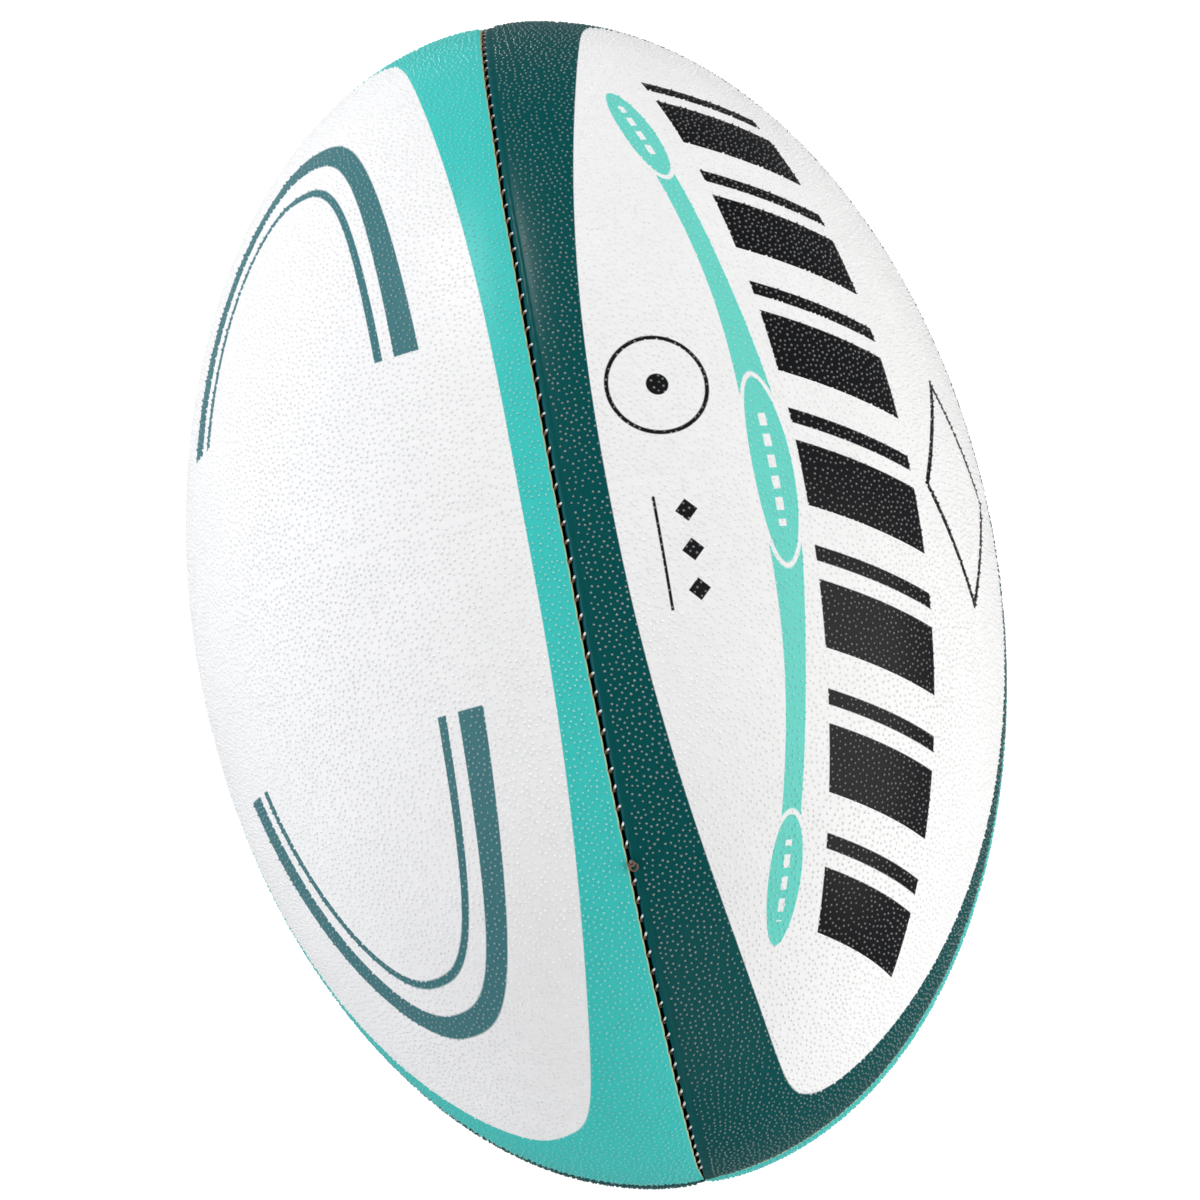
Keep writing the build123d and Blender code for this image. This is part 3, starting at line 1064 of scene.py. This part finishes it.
def threadTree():
    form = threadForm
    route = [(label, vectorIn, [part * mm for part in spot]) for label, spot in form["path"].items()]
    tree, give, take = newTree("seamThreads", [
        *route, ("Radius", floatIn, form["radius"]), ("Wobble", floatIn, math.radians(form["wobble"])),
        ("Variation", floatIn, form["variation"]), ("Seed", wholeIn, form["seed"]),
        ("Material", materialIn, None)])
    segment = addNode(tree, "GeometryNodeCurvePrimitiveBezierSegment", mode="POSITION")
    for label in form["path"]:
        feed(tree, segment.inputs[label], give[label])
    segment.inputs["Resolution"].default_value = form["steps"]
    ring = addNode(tree, "GeometryNodeCurvePrimitiveCircle")
    ring.inputs["Resolution"].default_value = form["sides"]
    feed(tree, ring.inputs["Radius"], give["Radius"])
    share = addNode(tree, "GeometryNodeSplineParameter").outputs["Factor"]
    tube = addNode(tree, "GeometryNodeCurveToMesh")
    feed(tree, tube.inputs["Curve"], markPoints(tree, segment.outputs[0], "runOut", share))
    feed(tree, tube.inputs["Profile Curve"], ring.outputs[0])
    tube.inputs["Fill Caps"].default_value = True
    rotation = None
    for label, axis, pivot in (("outward", "Z", "AUTO"), ("course", "Y", "Z")):
        read = addNode(tree, "GeometryNodeInputNamedAttribute", data_type="FLOAT_VECTOR")
        read.inputs["Name"].default_value = label
        align = addNode(tree, "FunctionNodeAlignRotationToVector", axis=axis, pivot_axis=pivot)
        feed(tree, align.inputs["Vector"], shown(read.outputs, "Attribute"))
        if rotation is not None:
            feed(tree, align.inputs["Rotation"], rotation)
        rotation = align.outputs[0]
    spin = randomBetween(tree, times(tree, give["Wobble"], -1.0), give["Wobble"], give["Seed"])
    twist = addNode(tree, "ShaderNodeCombineXYZ")
    feed(tree, twist.inputs[2], spin)
    turned = addNode(tree, "FunctionNodeRotateRotation", rotation_space="LOCAL")
    feed(tree, turned.inputs[0], rotation)
    feed(tree, turned.inputs[1], twist.outputs[0])
    size = sizeBetween(tree, give["Variation"], plus(tree, give["Seed"], 1.0))
    dots = addNode(tree, "GeometryNodeMeshToPoints")
    feed(tree, dots.inputs["Mesh"], give["Geometry"])
    placeCopies(tree, give, take, dots.outputs[0], tube.outputs[0], turned.outputs[0], size)
    return tree


seamThreads = threadTree()


def stitchPlaces(seam):
    pitch = seamForm["stitchPitch"]
    count = int((seamEnd - threadForm["endMargin"]) / pitch)
    half = (np.arange(count) + 0.5) * pitch
    if seam == "left":
        half = half[half > threadForm["valveSpace"]]
    return np.concatenate([-half[::-1], half])


def buildThreads(seam):
    along = stitchPlaces(seam)
    azimuth = np.full_like(along, math.radians(seamTurn[seam]))
    azimuth += seamWander(seam, along) / ringAt(along)[0]
    points = placeOn(along, azimuth, seamForm["valleyDepth"])
    dots = addObject("stitchPlaces", points.tolist(), [])
    beside = threadForm["courseStep"]
    course = placeOn(along + beside, azimuth) - placeOn(along - beside, azimuth)
    for label, vectors in (("outward", outwardAt(along, azimuth)), ("course", course)):
        layer = dots.data.attributes.new(label, "FLOAT_VECTOR", "POINT")
        layer.data.foreach_set("vector", vectors.ravel())
    values = {"Seed": threadForm["seed"] + seamTurn[seam], "Material": thread}
    return applyTree(dots, seamThreads, values, "crossing_threads_" + seam)


for seam in seamTurn:
    threads = buildThreads(seam)
    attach(threads, "root")
    print("stitches of the", seam, "seam,", len(threads.data.polygons), "faces")

# the pieces that stay as designed
nodeFinish = {
    "ply": fabric, "stitches": thread, "closing_knot": thread, "bladder": latex, "valve_patch": latex,
    "valve_housing": valveRubber, "valve_core": plugRubber,
}
for name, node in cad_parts.items():
    for piece, finish in nodeFinish.items():
        if piece in name:
            for index in range(len(node.data.materials)):
                node.data.materials[index] = finish

# floor, light and camera
stageForm = {
    "floorHalf": 4.0, "floorTone": linear(240, 240, 242), "patchTone": linear(230, 231, 234),
    "patchShare": 0.15,
    "grain": 400, "patches": 3, "roughness": 0.8, "black": (0, 0, 0, 1),
    "glow": 0.2, "seenGlow": 0.42, "mirroredShare": 0.15,  # how much of the floor shows in the ball's gloss
}


def buildFloor(form):
    half, low = form["floorHalf"], -ballForm["halfWidth"]
    corners = [(-half, -half, low), (half, -half, low), (half, half, low), (-half, half, low)]
    floor = addObject("floor", corners, [(0, 1, 2, 3)])
    material, tree, shader, place = newMaterial("pale_floor")
    grain = useGroup(tree, rubberGrain, Place=place, Grain=form["grain"], Patches=form["patches"])
    path = addNode(tree, "ShaderNodeLightPath").outputs
    patch = times(tree, grain["Patch"], form["patchShare"])
    tone = paint(tree, patch, form["floorTone"], form["patchTone"])
    hidden = times(tree, path["Is Glossy Ray"], 1 - form["mirroredShare"])
    feed(tree, shader["Base Color"], paint(tree, hidden, tone, form["black"]))
    glow = calc(tree, "MULTIPLY_ADD", path["Is Camera Ray"], form["seenGlow"] - form["glow"], form["glow"])
    feed(tree, shader["Emission Color"], times(tree, glow, unlike(tree, path["Is Glossy Ray"])))
    setValues(shader, {"Roughness": form["roughness"], "Emission Strength": 1.0})
    floor.data.materials.append(material)


buildFloor(stageForm)

worldLight = {"seen": 0.95, "cast": 0.42, "mirrored": 0.24, "mirroredEnds": 0.03}


def buildWorld(form):
    world = bpy.data.worlds[0] if bpy.data.worlds else bpy.data.worlds.new("studio")
    bpy.context.scene.world = world
    world.use_nodes = True
    tree = world.node_tree
    path = addNode(tree, "ShaderNodeLightPath").outputs
    way = addNode(tree, "ShaderNodeSeparateXYZ")
    feed(tree, way.inputs[0], addNode(tree, "ShaderNodeTexCoord").outputs["Generated"])
    # reflections are darker towards the two ends of the ball
    endwise = unsigned(tree, way.outputs[1])
    mirrored = calc(tree, "MULTIPLY_ADD", endwise, form["mirroredEnds"] - form["mirrored"], form["mirrored"])
    seen = times(tree, path["Is Camera Ray"], form["seen"])
    glossy = times(tree, path["Is Glossy Ray"], mirrored)
    others = calc(tree, "SUBTRACT", unlike(tree, path["Is Camera Ray"]), path["Is Glossy Ray"], clamp=True)
    cast = times(tree, others, form["cast"])
    background = tree.nodes["Background"].inputs
    feed(tree, background["Strength"], plus(tree, plus(tree, seen, glossy), cast))
    background["Color"].default_value = (1, 1, 1, 1)


buildWorld(worldLight)

lamps = {
    "leftPanel": {"place": (-1.15, 0.05, 0.45), "size": (1.1, 1.5), "power": 9.5, "tone": (0.97, 0.98, 1.0)},
    "rightPanel": {"place": (1.15, -0.35, 0.45), "size": (1.1, 1.5), "power": 13.0, "tone": (1.0, 0.985, 0.955)},
    "overTheEnd": {"place": (-0.3, 0.95, 0.75), "size": (0.32, 0.32), "power": 6.3, "tone": (1.0, 1.0, 1.0)},
    "nearEnd": {"place": (0.1, -1.3, 0.35), "size": (1.2, 1.2), "power": 3.5, "tone": (1.0, 1.0, 1.0)},
}
for name, form in lamps.items():
    light = bpy.data.lights.new(name, "AREA")
    light.shape = "RECTANGLE"
    light.size, light.size_y = form["size"]
    light.energy = form["power"]
    light.color = form["tone"]
    lamp = linkObject(name, light)
    spot = Vector(form["place"])
    lamp.matrix_world = Matrix.Translation(spot) @ (-spot).to_track_quat("-Z", "Y").to_matrix().to_4x4()

cameraForm = {
    "distance": 1.1, "tilt": 14.0, "roll": 2.5, "lean": 10.655,  # degrees
    "aimRight": 0.064, "aimUp": -0.055, "lens": 136.4, "sensor": 36.0, "clip": (0.05, 20.0),
}


def placeCamera(form):
    tilt, roll, lean = (math.radians(form[key]) for key in ("tilt", "roll", "lean"))
    away = Vector((math.sin(roll) * math.cos(tilt), -math.sin(tilt), math.cos(roll) * math.cos(tilt)))
    up = (Vector((0, 1, 0)) - away * away.y).normalized()
    right = (-away).cross(up)
    up, right = up * math.cos(lean) + right * math.sin(lean), right * math.cos(lean) - up * math.sin(lean)
    aimRight, aimUp = (math.tan(math.radians(form[key])) for key in ("aimRight", "aimUp"))
    forward = (-away + right * aimRight + up * aimUp).normalized()
    right = forward.cross(up).normalized()
    up = right.cross(forward)
    view = bpy.data.cameras.new("camera")
    view.lens, view.sensor_width = form["lens"], form["sensor"]
    view.clip_start, view.clip_end = form["clip"]
    camera = linkObject("camera", view)
    turn = Matrix((right, up, -forward)).transposed().to_4x4()
    camera.matrix_world = Matrix.Translation(away * form["distance"]) @ turn
    bpy.context.scene.camera = camera


placeCamera(cameraForm)
bpy.context.scene.view_settings.view_transform = "Standard"
